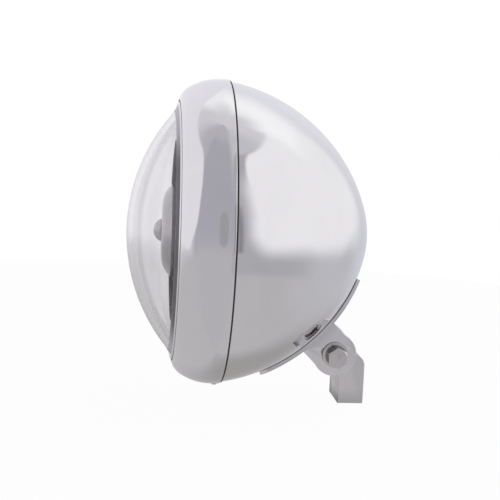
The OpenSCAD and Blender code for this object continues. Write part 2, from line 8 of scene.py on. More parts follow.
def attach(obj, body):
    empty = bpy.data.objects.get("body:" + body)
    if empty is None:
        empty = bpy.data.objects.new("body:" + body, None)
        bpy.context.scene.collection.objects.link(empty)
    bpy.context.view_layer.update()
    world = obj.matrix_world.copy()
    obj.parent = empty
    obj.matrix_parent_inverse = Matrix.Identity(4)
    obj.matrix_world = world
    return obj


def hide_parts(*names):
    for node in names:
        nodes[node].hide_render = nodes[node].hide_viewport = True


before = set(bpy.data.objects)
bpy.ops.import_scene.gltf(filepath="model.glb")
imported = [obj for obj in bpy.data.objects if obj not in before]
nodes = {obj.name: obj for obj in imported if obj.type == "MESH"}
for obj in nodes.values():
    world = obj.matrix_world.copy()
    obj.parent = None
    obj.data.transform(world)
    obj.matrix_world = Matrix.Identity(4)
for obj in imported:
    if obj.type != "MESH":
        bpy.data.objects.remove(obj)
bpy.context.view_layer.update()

MM = 0.001
WELD = 1e-6  # metres: nearer points of a new piece are one
CAD_WELD = 2e-6  # metres: nearer points of a solid's loose triangles are one
FINE_TURN = 288  # steps round the lamp's axis for what shows large
TURN = 224
FACING = 0.5  # cosine: a face turned less than 60 degrees from an axis looks along it

# The camera, fitted to the photograph
CAMERA_AT = (0.67035, -0.14807, 0.18686)
CAMERA_RIGHT = (0.11103, 0.99279, 0.04514)
CAMERA_UP = (-0.13482, -0.02996, 0.99042)
CAMERA_LOOK = (-0.98463, 0.11605, -0.13052)
CAMERA_LENS = 75.115

# Mount, in millimetres, as in the solids
PIVOT_Y = -12.6
PIVOT_Z = 33.6
PIVOT_STANDOFF = 16.2
MOUNT_ANGLE = 45.1
PAD_T = 0.5
SADDLE_T = 2.3
SADDLE_W = 42.0
SADDLE_FORE = 43.5
SADDLE_AFT = 44.0
SADDLE_CORNER = 6.0
SADDLE_CORNER_CUTS = 6
SADDLE_BLANK_TURN = 26.0  # degrees each way: the plate is cut from a blank that's larger than it
SADDLE_BLANK_FROM = 16.0
SADDLE_BLANK_SHORT = 0.5
SADDLE_EASE = 0.4  # share of its thickness that its edges are eased by
GROMMET_ANGLE = 52.0
GROMMET_TURN = -138.0

# Bucket
BUCKET_R = 96.6
BUCKET_T = 1.2
SHOULDER_F = -0.5
FLANK_OVER = 16.5
FLANK_FROM = 9.0
FLANK_R = (BUCKET_R + FLANK_OVER) / math.cos(math.radians(FLANK_FROM))
FLANK_BACK = -FLANK_R * math.sin(math.radians(FLANK_FROM))
DOME_R = 65.0
DOME_BACK = FLANK_BACK + math.sqrt((FLANK_R - DOME_R) ** 2 - FLANK_OVER**2)
FLANK_TO = math.degrees(math.atan2(DOME_BACK - FLANK_BACK, FLANK_OVER))
NECK_R = 95.4
NECK_LEN = 10.0
NECK_FLANGE_R = 91.4
NECK_ROUND = 1.0
WIRE_OPENING_R = 9.2
DOME_ANGLES = (90, 89.5, 89, 88, 87, 86, 85, 84, 82, 80, 78, 76, 74, 72)  # closer together at the pole

# The lamp's axis runs along Y at AXIS_Z, and SEAM_Y is the middle of the seam between ring and bucket
PIVOT_ARC = FLANK_R + PIVOT_STANDOFF
SEAM_Y = PIVOT_Y - FLANK_BACK - PIVOT_ARC * math.sin(math.radians(MOUNT_ANGLE)) + SHOULDER_F
AXIS_Z = PIVOT_Z - FLANK_OVER + PIVOT_ARC * math.cos(math.radians(MOUNT_ANGLE))

# Trim ring
RING_R = 97.7
RING_T = 1.2
RING_REAR_F = 0.5
SKIRT_LEN = 5.5
LONG_R = 36.0
LONG_ANGLE = 33.0
NOSE_R = 13.2
BEAD_R = 1.4
NOSE_END = 77.0
BEAD_FROM = -4.0
BEAD_TO = 300.0
INNER_NOSE_FROM = 80.0
REAR_EASE = 0.35
REAR_STEP = 0.1
INNER_EASE = 0.3
CREASE_IN = 0.45
CREASE_DEEP = 0.5
CREASE_SHARE = 0.9  # of the bead's radius: the line of painted shade starts there
CREASE_BELOW = 1.0

# Lens and reflector
LENS_RISE = 29.9
LENS_SINK = 0.4
LENS_T = 3.5
LENS_GAP = 1.3
LENS_FLANGE = 7.4
LENS_FLANGE_ROUND = 0.6
LENS_ROOT_ROUND = 1.0
LENS_EDGE_ROUND = 1.6
LENS_EDGE_POINTS = 4  # points of the dome that its rounded edge takes up
LIP_R = 76.0
LIP_TUCK = 0.6
LIP_STAND = 0.5
LIP_CLEAR = 0.05
LIP_DEPTH = 0.3
LIP_STEPS = 12
SEAL_T = 2.1
FIT = 0.1
FOCAL = 24.0
REFLECTOR_T = 0.8
BULB_HOLE_R = 19.0
COLLAR_LEN = 5.8
MOUTH_STEP = 1.6
CRIMP_UP = 0.4
BACK_GAP = 0.3
BACK_STEP = 1.0

NOSE_C = (
    RING_R - LONG_R + (LONG_R - NOSE_R) * math.cos(math.radians(LONG_ANGLE)),
    SKIRT_LEN + (LONG_R - NOSE_R) * math.sin(math.radians(LONG_ANGLE)),
)
BEAD_C = (NOSE_C[0] + BEAD_R / 3, NOSE_C[1] + NOSE_R - BEAD_R / 2)
BEAD_TOP_F = BEAD_C[1] + BEAD_R
OPENING_R = BEAD_C[0] - BEAD_R
LENS_TOP_F = BEAD_TOP_F + LENS_RISE
DOME_EDGE_R = OPENING_R - LENS_GAP
LENS_R = (DOME_EDGE_R**2 + (LENS_RISE + LENS_SINK) ** 2) / (2 * (LENS_RISE + LENS_SINK))
LENS_C = (0, LENS_TOP_F - LENS_R)
LENS_FLANGE_R = DOME_EDGE_R + LENS_FLANGE
LENS_FLANGE_F = BEAD_C[1] - BEAD_R - SEAL_T - FIT
UNIT_F = LENS_FLANGE_F - LENS_T
INNER_EDGE_R = DOME_EDGE_R - LENS_T
MOUTH_R = INNER_EDGE_R + MOUTH_STEP
VERTEX_F = UNIT_F - MOUTH_R**2 / (4 * FOCAL)
CRIMP_R = LENS_FLANGE_R + REFLECTOR_T + FIT
COLLAR_F = VERTEX_F + BULB_HOLE_R**2 / (4 * FOCAL) - COLLAR_LEN

# Bulb and its shield
GLASS_R = 8.6
GLASS_T = 1.0
BULB_BASE = 14.0
BULB_REACH = 54.0
GLASS_F = COLLAR_F + BULB_BASE
GLASS_TIP_F = COLLAR_F + BULB_REACH
DISH_R = 29.5
DISH_CURVE = 19.5
RIDGE_R = 15.5
RIDGE_RISE = 7.5
CAP_R = 8.0
CAP_H = 6.6
CAP_EASE = 0.4
SHIELD_T = 0.8
DISH_C = (RIDGE_R, BEAD_TOP_F + RIDGE_RISE - DISH_CURVE)
DISH_SEAT_F = DISH_C[1] + math.sqrt(DISH_CURVE**2 - (RIDGE_R - CAP_R) ** 2)
DISH_EDGE_A = math.degrees(math.acos((DISH_R - RIDGE_R) / DISH_CURVE))
DISH_INNER_TURN = 2.0  # degrees: the inside's arc starts this much later
DISH_WALL = 3.0
DISH_WALL_F = DISH_C[1] + DISH_CURVE * math.sin(math.radians(DISH_EDGE_A)) - DISH_WALL

# Edges of the stem, the ears and the pivot's fasteners
STEM_EASE = 0.6
EARS_EASE = 0.45
BOLT_EASE = 0.3
WASHER_EASE = 0.12


# Shapes
def arc(centre, radius, start, end, steps):
    """Points on an arc, with the angles in degrees."""
    points = []
    for i in range(steps + 1):
        angle = math.radians(start + (end - start) * i / steps)
        points.append((centre[0] + radius * math.cos(angle), centre[1] + radius * math.sin(angle)))
    return points


def flank_point(angle, offset=0.0):
    """A point of the bowl's flank as (radius, forward), raised by offset."""
    a = math.radians(angle)
    radius = FLANK_R + offset
    return (radius * math.cos(a) - FLANK_OVER, SHOULDER_F - FLANK_BACK - radius * math.sin(a))


def flank_curve(offset, start=FLANK_FROM, end=FLANK_TO, steps=64):
    return [flank_point(start + (end - start) * i / steps, offset) for i in range(steps + 1)]


def rounded(points, corners, steps=4):
    """The points, with those that corners gives as index: size turned into small curves."""
    result = []
    for i, point in enumerate(points):
        if i not in corners:
            result.append(point)
            continue
        here = Vector(point)
        before = Vector(points[i - 1])
        after = Vector(points[(i + 1) % len(points)])
        start = here + (before - here).normalized() * corners[i]
        end = here + (after - here).normalized() * corners[i]
        for k in range(steps + 1):
            t = k / steps
            result.append(tuple(start * (1 - t) ** 2 + here * 2 * t * (1 - t) + end * t**2))
    return result


def lamp_point(radius, forward):
    """A point of a profile, placed above the lamp's axis, in metres."""
    return Vector((0, (SEAM_Y - forward) * MM, (AXIS_Z + radius) * MM))


def finish_mesh(bm, name, sharp=30.0):
    """An object from the new piece's mesh, smooth but for its sharp edges."""
    bmesh.ops.remove_doubles(bm, verts=bm.verts, dist=WELD)
    bmesh.ops.recalc_face_normals(bm, faces=bm.faces)
    mesh = bpy.data.meshes.new(name)
    bm.to_mesh(mesh)
    bm.free()
    mesh.shade_smooth()
    mesh.set_sharp_from_angle(angle=math.radians(sharp))
    obj = bpy.data.objects.new(name, mesh)
    bpy.context.scene.collection.objects.link(obj)
    return obj


def wire(bm, points, closed):
    """The points joined by edges, as something to spin."""
    verts = [bm.verts.new(p) for p in points]
    edges = [bm.edges.new(pair) for pair in zip(verts, verts[1:])]
    if closed:
        edges.append(bm.edges.new((verts[-1], verts[0])))
    return verts + edges


def revolve(name, profile, closed=True, steps=TURN, sharp=30.0):
    """A profile of (radius, forward) points spun round the lamp's axis."""
    bm = bmesh.new()
    geometry = wire(bm, [lamp_point(r, f) for r, f in profile], closed)
    bmesh.ops.spin(
        bm,
        geom=geometry,
        cent=(0, 0, AXIS_Z * MM),
        axis=(0, -1, 0),
        dvec=(0, 0, 0),
        angle=2 * math.pi,
        steps=steps,
        use_merge=True,
        use_duplicate=False,
    )
    return finish_mesh(bm, name, sharp)


def softened(node_name, width, segments=3, sharp=35.0):
    """A copy of a node's solid with its edges eased by a small bevel."""
    bm = bmesh.new()
    bm.from_mesh(nodes[node_name].data)
    bmesh.ops.remove_doubles(bm, verts=bm.verts, dist=CAD_WELD)
    bmesh.ops.dissolve_limit(
        bm, angle_limit=math.radians(0.5), verts=bm.verts, edges=bm.edges, use_dissolve_boundaries=False
    )
    edges = [e for e in bm.edges if len(e.link_faces) == 2 and e.calc_face_angle(0) > math.radians(sharp)]
    bmesh.ops.bevel(
        bm,
        geom=edges,
        offset=width * MM,
        offset_type="OFFSET",
        affect="EDGES",
        segments=segments,
        profile=0.5,
        material=-1,
        clamp_overlap=True,
    )
    return finish_mesh(bm, node_name + "_finished", sharp=40.0)


def add_wall(obj, thickness, side):
    """Thickens a sheet, inwards with side -1 and outwards with side 1."""
    wall = obj.modifiers.new("wall", "SOLIDIFY")
    wall.thickness = thickness * MM
    wall.offset = side
    wall.use_even_offset = True


def place(obj, body, material, *replaced, slot):
    """Gives a new piece its material and the body that it moves with. Its slot is not used."""
    obj.data.materials.clear()
    obj.data.materials.append(material)
    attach(obj, body)
    if replaced:
        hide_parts(*replaced)


def second_material(obj, material, chosen):
    """Gives a second material to the faces that chosen picks."""
    obj.data.materials.append(material)
    for face in obj.data.polygons:
        if chosen(face):
            face.material_index = 1


# Materials
def new_node(tree, kind, inputs=None, **settings):
    """A node with its settings and the values of its inputs."""
    made = tree.nodes.new(kind)
    for key, value in settings.items():
        setattr(made, key, value)
    for key, value in (inputs or {}).items():
        made.inputs[key].default_value = value
    return made


def link(tree, source, target):
    tree.links.new(source, target)


def maths_in(tree, operation, *values):
    """The result of a maths node whose inputs are numbers or sockets."""
    made = new_node(tree, "ShaderNodeMath", operation=operation)
    for i, value in enumerate(values):
        if isinstance(value, (int, float)):
            made.inputs[i].default_value = value
        else:
            link(tree, value, made.inputs[i])
    return made.outputs[0]


def build_handling_group():
    """Smudges left by cloths and hands, a long wave from pressing and a fine grain from polishing."""
    group = bpy.data.node_groups.new("handling", "ShaderNodeTree")
    for name, value in (
        ("Smudge scale", 24.0),
        ("Smudge amount", 0.04),
        ("Base roughness", 0.06),
        ("Wave scale", 14.0),
        ("Grain scale", 2400.0),
        ("Grain share", 0.1),
    ):
        socket = group.interface.new_socket(name, in_out="INPUT", socket_type="NodeSocketFloat")
        socket.default_value = value
    for name in ("Roughness", "Height", "Mask"):
        group.interface.new_socket(name, in_out="OUTPUT", socket_type="NodeSocketFloat")
    inlet = new_node(group, "NodeGroupInput")
    outlet = new_node(group, "NodeGroupOutput")
    coords = new_node(group, "ShaderNodeTexCoord")
    smudge = new_node(group, "ShaderNodeTexNoise", {"Detail": 5.0, "Roughness": 0.62, "Distortion": 0.6})
    link(group, coords.outputs["Object"], smudge.inputs["Vector"])
    link(group, inlet.outputs["Smudge scale"], smudge.inputs["Scale"])
    mask = new_node(
        group,
        "ShaderNodeMapRange",
        {"From Min": 0.42, "From Max": 0.72},
        interpolation_type="SMOOTHSTEP",
    )
    link(group, smudge.outputs["Fac"], mask.inputs["Value"])
    rough = new_node(group, "ShaderNodeMath", operation="MULTIPLY_ADD")
    link(group, mask.outputs["Result"], rough.inputs[0])
    link(group, inlet.outputs["Smudge amount"], rough.inputs[1])
    link(group, inlet.outputs["Base roughness"], rough.inputs[2])
    wave = new_node(group, "ShaderNodeTexNoise", {"Detail": 1.0, "Roughness": 0.4})
    link(group, coords.outputs["Object"], wave.inputs["Vector"])
    link(group, inlet.outputs["Wave scale"], wave.inputs["Scale"])
    grain = new_node(group, "ShaderNodeTexNoise", {"Detail": 2.0})
    link(group, coords.outputs["Object"], grain.inputs["Vector"])
    link(group, inlet.outputs["Grain scale"], grain.inputs["Scale"])
    height = new_node(group, "ShaderNodeMath", operation="MULTIPLY_ADD")
    link(group, grain.outputs["Fac"], height.inputs[0])
    link(group, inlet.outputs["Grain share"], height.inputs[1])
    link(group, wave.outputs["Fac"], height.inputs[2])
    link(group, rough.outputs[0], outlet.inputs["Roughness"])
    link(group, height.outputs[0], outlet.inputs["Height"])
    link(group, mask.outputs["Result"], outlet.inputs["Mask"])
    return group


HANDLING = build_handling_group()


def base_material(name):
    """An empty material with its shader."""
    material = bpy.data.materials.new(name)
    material.use_nodes = True
    tree = material.node_tree
    tree.nodes.clear()
    output = new_node(tree, "ShaderNodeOutputMaterial")
    shader = new_node(tree, "ShaderNodeBsdfPrincipled")
    link(tree, shader.outputs["BSDF"], output.inputs["Surface"])
    return material, tree, shader


def surface(name, clean, smudged, metallic, smudge, roughness, wave, grain, bump, **sockets):
    """A material whose colour, roughness and relief vary with how it was made and handled.

    smudge is the smudges' scale and their roughness, wave a scale, grain a share, and bump a strength
    and a distance in metres.
    """
    material, tree, shader = base_material(name)
    shader.inputs["Metallic"].default_value = metallic
    for key, value in sockets.items():
        shader.inputs[key.replace("_", " ")].default_value = value
    wear = new_node(tree, "ShaderNodeGroup", node_tree=HANDLING)
    wear.inputs["Smudge scale"].default_value = smudge[0]
    wear.inputs["Smudge amount"].default_value = smudge[1]
    wear.inputs["Base roughness"].default_value = roughness
    wear.inputs["Wave scale"].default_value = wave
    wear.inputs["Grain share"].default_value = grain
    tint = new_node(tree, "ShaderNodeMix", data_type="RGBA")
    tint.inputs["A"].default_value = (*clean, 1.0)
    tint.inputs["B"].default_value = (*smudged, 1.0)
    link(tree, wear.outputs["Mask"], tint.inputs["Factor"])
    link(tree, tint.outputs["Result"], shader.inputs["Base Color"])
    link(tree, wear.outputs["Roughness"], shader.inputs["Roughness"])
    relief = new_node(tree, "ShaderNodeBump", {"Strength": bump[0], "Distance": bump[1]})
    link(tree, wear.outputs["Height"], relief.inputs["Height"])
    link(tree, relief.outputs["Normal"], shader.inputs["Normal"])
    return material


def tint_by_height(material, tint, start, end, middle=None):
    """Turns the material's colour into the tint between two heights in metres.

    With a middle, start and end are distances above and below it.
    """
    tree = material.node_tree
    coords = new_node(tree, "ShaderNodeTexCoord")
    split = new_node(tree, "ShaderNodeSeparateXYZ")
    link(tree, coords.outputs["Object"], split.inputs[0])
    height = split.outputs["Z"]
    if middle is not None:
        height = maths_in(tree, "ABSOLUTE", maths_in(tree, "SUBTRACT", height, middle))
    share = new_node(
        tree, "ShaderNodeMapRange", {"From Min": start, "From Max": end}, interpolation_type="SMOOTHSTEP"
    )
    link(tree, height, share.inputs["Value"])
    blend = new_node(tree, "ShaderNodeMix", data_type="RGBA")
    blend.inputs["B"].default_value = (*tint, 1.0)
    link(tree, share.outputs["Result"], blend.inputs["Factor"])
    shader = next(node for node in tree.nodes if node.type == "BSDF_PRINCIPLED")
    link(tree, shader.inputs["Base Color"].links[0].from_socket, blend.inputs["A"])
    link(tree, blend.outputs["Result"], shader.inputs["Base Color"])


CHROME = surface(
    "polished_chrome",
    (0.80, 0.795, 0.81),
    (0.775, 0.77, 0.785),
    metallic=1.0,
    smudge=(22.0, 0.03),
    roughness=0.055,
    wave=11.0,
    grain=0.0,
    bump=(0.25, 0.0004),
)
MOUNT_CHROME = surface(
    "mount_chrome",
    (0.83, 0.82, 0.825),
    (0.78, 0.77, 0.77),
    metallic=1.0,
    smudge=(40.0, 0.04),
    roughness=0.16,
    wave=40.0,
    grain=0.0,
    bump=(0.15, 0.0001),
)
# The stem's chrome, which make_stem_and_ears paints darker towards the foot as painted shade
STEM_CHROME_PAINTED_SHADE = surface(
    "stem_chrome_painted_shade",
    (0.78, 0.765, 0.775),
    (0.73, 0.72, 0.72),
    metallic=1.0,
    smudge=(40.0, 0.04),
    roughness=0.14,
    wave=40.0,
    grain=0.0,
    bump=(0.15, 0.0001),
)
# A darker copy of the stem's chrome, for its front faces: painted shade
STEM_FRONT_PAINTED_SHADE = surface(
    "stem_front_painted_shade",
    (0.61, 0.6, 0.605),
    (0.58, 0.57, 0.57),
    metallic=1.0,
    smudge=(40.0, 0.04),
    roughness=0.14,
    wave=40.0,
    grain=0.0,
    bump=(0.15, 0.0001),
)
STAINLESS = surface(
    "turned_stainless",
    (0.68, 0.655, 0.645),
    (0.60, 0.58, 0.565),
    metallic=1.0,
    smudge=(140.0, 0.06),
    roughness=0.2,
    wave=200.0,
    grain=0.0,
    bump=(0.1, 0.00003),
)
ZINC = surface(
    "zinc_plate",
    (0.62, 0.63, 0.65),
    (0.54, 0.55, 0.56),
    metallic=1.0,
    smudge=(90.0, 0.12),
    roughness=0.26,
    wave=200.0,
    grain=0.6,
    bump=(0.3, 0.00005),
)
MIRROR = surface(
    "reflector_mirror",
    (0.86, 0.86, 0.87),
    (0.83, 0.83, 0.84),
    metallic=1.0,
    smudge=(30.0, 0.02),
    roughness=0.05,
    wave=20.0,
    grain=0.0,
    bump=(0.15, 0.0003),
)
SHIELD = surface(
    "shield_steel",
    (0.46, 0.45, 0.455),
    (0.41, 0.40, 0.405),
    metallic=1.0,
    smudge=(80.0, 0.05),
    roughness=0.16,
    wave=120.0,
    grain=0.2,
    bump=(0.2, 0.00005),
)
RUBBER = surface(
    "black_rubber",
    (0.018, 0.018, 0.018),
    (0.04, 0.04, 0.04),
    metallic=0.0,
    smudge=(120.0, 0.12),
    roughness=0.55,
    wave=400.0,
    grain=1.0,
    bump=(0.4, 0.0001),
)
# The lip's rubber, which make_seal_lip paints paler at top and bottom as painted sheen
SEAL_RUBBER_PAINTED_SHEEN = surface(
    "seal_rubber_painted_sheen",
    (0.14, 0.135, 0.14),
    (0.18, 0.175, 0.18),
    metallic=0.0,
    smudge=(60.0, 0.1),
    roughness=0.3,
    wave=200.0,
    grain=0.1,
    bump=(0.1, 0.0001),
)
# A dark finish for the crease of the trim ring: painted shade
CREASE_PAINTED_SHADE = surface(
    "crease_painted_shade",
    (0.16, 0.155, 0.16),
    (0.22, 0.215, 0.22),
    metallic=0.3,
    smudge=(60.0, 0.1),
    roughness=0.4,
    wave=200.0,
    grain=0.1,
    bump=(0.1, 0.0001),
)
# A dark steel for the sides of the bolt and washers: painted shade
SIDES_PAINTED_SHADE = surface(
    "steel_sides_painted_shade",
    (0.085, 0.08, 0.08),
    (0.13, 0.125, 0.125),
    metallic=1.0,
    smudge=(400.0, 0.1),
    roughness=0.2,
    wave=200.0,
    grain=0.1,
    bump=(0.1, 0.00002),
)
BRASS = surface(
    "terminal_brass",
    (0.78, 0.60, 0.30),
    (0.62, 0.46, 0.22),
    metallic=1.0,
    smudge=(200.0, 0.12),
    roughness=0.24,
    wave=300.0,
    grain=0.4,
    bump=(0.2, 0.00004),
)
ALUMINIUM = surface(
    "bulb_cap_metal",
    (0.72, 0.72, 0.73),
    (0.64, 0.64, 0.65),
    metallic=1.0,
    smudge=(160.0, 0.1),
    roughness=0.22,
    wave=240.0,
    grain=0.4,
    bump=(0.2, 0.00004),
)
LENS_GLASS = surface(
    "lens_glass",
    (0.992, 0.986, 0.997),
    (0.968, 0.962, 0.978),
    metallic=0.0,
    smudge=(18.0, 0.004),
    roughness=0.0,
    wave=16.0,
    grain=0.0,
    bump=(0.02, 0.0001),
    Transmission_Weight=1.0,
    IOR=1.38,
)
BULB_GLASS = surface(
    "bulb_glass",
    (0.98, 0.98, 0.985),
    (0.95, 0.95, 0.96),
    metallic=0.0,
    smudge=(120.0, 0.02),
    roughness=0.0,
    wave=80.0,
    grain=0.0,
    bump=(0.1, 0.0001),
    Transmission_Weight=1.0,
    IOR=1.48,
)

# Bucket
def make_bucket():
    """The bowl and its neck as one spun sheet, open under the grommet, with its wall inwards."""
    dome = [
        (DOME_R * math.cos(math.radians(a)), SHOULDER_F - DOME_BACK - DOME_R * math.sin(math.radians(a)))
        for a in DOME_ANGLES
    ]
    neck = rounded([(NECK_R, SHOULDER_F), (NECK_R, NECK_LEN), (NECK_FLANGE_R, NECK_LEN)], {1: NECK_ROUND})
    bucket = revolve("bucket_shell", dome + flank_curve(0)[::-1] + neck, closed=False, steps=FINE_TURN)
    turn = math.radians(GROMMET_TURN)
    r, f = flank_point(GROMMET_ANGLE)
    opening = Vector((r * math.cos(turn), SEAM_Y - f, AXIS_Z + r * math.sin(turn))) * MM
    bm = bmesh.new()
    bm.from_mesh(bucket.data)
    reach = WIRE_OPENING_R * MM
    covered = [face for face in bm.faces if (face.calc_center_median() - opening).length < reach]
    bmesh.ops.delete(bm, geom=covered, context="FACES")
    bm.to_mesh(bucket.data)
    bm.free()
    bucket.data.shade_smooth()
    bucket.data.set_sharp_from_angle(angle=math.radians(35))
    add_wall(bucket, BUCKET_T, -1)
    place(bucket, "lamp", CHROME, "bucket", slot="chrome_shell")


# Trim ring
def make_trim_ring():
    """One closed section: rear edge, long curve, nose, crease and bead, then back along the inside."""
    long_c = (RING_R - LONG_R, SKIRT_LEN)
    inner_r = RING_R - RING_T
    nose = arc(NOSE_C, NOSE_R, LONG_ANGLE, NOSE_END, 40)
    crease_r, crease_f = nose[-1]
    section = (
        [
            (RING_R - REAR_EASE, RING_REAR_F),
            (RING_R - REAR_STEP, RING_REAR_F + REAR_STEP),
            (RING_R, RING_REAR_F + REAR_EASE),
        ]
        + arc(long_c, LONG_R, 0, LONG_ANGLE, 40)
        + nose[1:]
        + [(crease_r - CREASE_IN, crease_f - CREASE_DEEP)]
        + arc(BEAD_C, BEAD_R, BEAD_FROM, BEAD_TO, 32)
        + arc(NOSE_C, NOSE_R - RING_T, INNER_NOSE_FROM, LONG_ANGLE, 16)
        + arc(long_c, LONG_R - RING_T, LONG_ANGLE, 0, 16)[1:]
        + [(inner_r, RING_REAR_F + INNER_EASE), (inner_r + INNER_EASE, RING_REAR_F)]
    )
    ring = revolve("trim_ring_shell", section, steps=FINE_TURN, sharp=50)
    place(ring, "lamp", CHROME, "trim_ring", slot="chrome_shell")

    shade_from_r = BEAD_C[0] + BEAD_R * CREASE_SHARE
    shade_from_f = BEAD_C[1] - CREASE_BELOW

    # A line of painted shade in the crease between nose and bead
    def in_crease(face):
        r = math.hypot(face.center.x, face.center.z - AXIS_Z * MM) / MM
        f = SEAM_Y - face.center.y / MM
        return shade_from_r < r < crease_r and f > shade_from_f

    # The crease faces get the dark finish: painted shade
    second_material(ring, CREASE_PAINTED_SHADE, in_crease)


# Light unit
def make_lens():
    """The dome and its flange, with the wall's two spheres on one centre."""
    inner_r = LENS_R - LENS_T
    outer = arc(LENS_C, LENS_R, math.degrees(math.acos(DOME_EDGE_R / LENS_R)), 90, 90)
    inner = arc(LENS_C, inner_r, 90, math.degrees(math.acos(INNER_EDGE_R / inner_r)), 90)
    flange = rounded(
        [
            (INNER_EDGE_R, UNIT_F),
            (LENS_FLANGE_R, UNIT_F),
            (LENS_FLANGE_R, LENS_FLANGE_F),
            (DOME_EDGE_R, LENS_FLANGE_F),
            outer[0],
            outer[LENS_EDGE_POINTS],
        ],
        {1: LENS_FLANGE_ROUND, 2: LENS_FLANGE_ROUND, 3: LENS_ROOT_ROUND, 4: LENS_EDGE_ROUND},
    )
    lens = revolve("lens_dome", flange + outer[LENS_EDGE_POINTS + 1 :] + inner, steps=FINE_TURN)
    place(lens, "lamp", LENS_GLASS, "lens", slot="lens_glass")


def make_seal_lip():
    """The seal's soft edge, which closes the gap between the bead and the glass."""
    tuck_r = OPENING_R - LIP_TUCK
    top = []
    for i in range(LIP_STEPS + 1):
        part = i / LIP_STEPS
        r = tuck_r + (LIP_R - tuck_r) * part
        stand = LIP_STAND * math.sqrt(1 - part**2) + LIP_CLEAR
        top.append((r + stand * r / LENS_R, LENS_C[1] + math.sqrt(LENS_R**2 - r**2) + stand))
    under = [(LIP_R, top[-1][1] - LIP_DEPTH), (tuck_r, BEAD_C[1])]
    lip = revolve("lens_seal_lip", top + under)
    place(lip, "lamp", SEAL_RUBBER_PAINTED_SHEEN, slot="black_rubber")
    # It is painted paler towards its top and bottom: painted sheen
    tint_by_height(SEAL_RUBBER_PAINTED_SHEEN, (0.5, 0.49, 0.51), 0.045, 0.068, middle=AXIS_Z * MM)


def mirror_point(radius, offset=0.0):
    """A point of the reflector's parabola, moved out along its normal by offset."""
    slope = radius / (2 * FOCAL)
    n = math.sqrt(1 + slope**2)
    return (radius + offset * slope / n, VERTEX_F + radius**2 / (4 * FOCAL) - offset / n)


def mirror_curve(offset, start, end, steps=60):
    return [mirror_point(start + (end - start) * i / steps, offset) for i in range(steps + 1)]


def make_reflector():
    """Collar, parabola and the rim that is crimped round the lens's flange."""
    crimp_f = LENS_FLANGE_F + CRIMP_UP
    back_f = UNIT_F - REFLECTOR_T
    collar_r = BULB_HOLE_R + REFLECTOR_T
    section = (
        [(BULB_HOLE_R, COLLAR_F)]
        + mirror_curve(0, BULB_HOLE_R, MOUTH_R)
        + [
            (LENS_FLANGE_R + FIT, UNIT_F),
            (LENS_FLANGE_R + FIT, crimp_f),
            (CRIMP_R, crimp_f),
            (CRIMP_R, back_f),
            (MOUTH_R + BACK_STEP, back_f),
        ]
        + mirror_curve(REFLECTOR_T, collar_r, MOUTH_R - BACK_GAP)[::-1]
        + [(collar_r, COLLAR_F)]
    )
    reflector = revolve("reflector_bowl", section)
    place(reflector, "lamp", MIRROR, "reflector", slot="reflector_mirror")


def bullet(radius, height, steps=20):
    """Half of a rounded cap's outline, from its rim to its tip."""
    quarter = math.pi / 2
    return [
        (radius * math.cos(quarter * i / steps), DISH_SEAT_F + height * math.sin(quarter * i / steps))
        for i in range(steps + 1)
    ]


def make_shield():
    """The pressed dish with its raised ring, and the rounded cap on it."""
    seat_a = 180 - math.degrees(math.acos((RIDGE_R - CAP_R) / DISH_CURVE))
    section = (
        [(0, DISH_SEAT_F)]
        + arc(DISH_C, DISH_CURVE, seat_a, DISH_EDGE_A, 48)
        + [(DISH_R, DISH_WALL_F), (DISH_R - SHIELD_T, DISH_WALL_F)]
        + arc(DISH_C, DISH_CURVE - SHIELD_T, DISH_EDGE_A + DISH_INNER_TURN, seat_a, 48)
        + [(0, DISH_SEAT_F - SHIELD_T)]
    )
    dish = revolve("shield_dish_pressed", section, closed=False, steps=128)
    place(dish, "lamp", SHIELD, "shield_dish", slot="shield_steel")
    rim_r = CAP_R - CAP_EASE
    inside_r = rim_r - SHIELD_T
    section = bullet(rim_r, CAP_H) + bullet(inside_r, CAP_H * inside_r / rim_r)[::-1]
    cap = revolve("shield_cap_pressed", section, steps=96)
    place(cap, "lamp", SHIELD, "shield_cap", slot="shield_steel")


def make_bulb():
    """The bulb's thin glass, open at its base."""
    tip_c = (0, GLASS_TIP_F - GLASS_R)
    inside_r = GLASS_R - GLASS_T
    section = (
        [(GLASS_R, GLASS_F)]
        + arc(tip_c, GLASS_R, 0, 90, 16)
        + arc(tip_c, inside_r, 90, 0, 16)
        + [(inside_r, GLASS_F)]
    )
    bulb = revolve("bulb_envelope", section, steps=64)
    place(bulb, "lamp", BULB_GLASS, "bulb_glass", slot="bulb_clear")


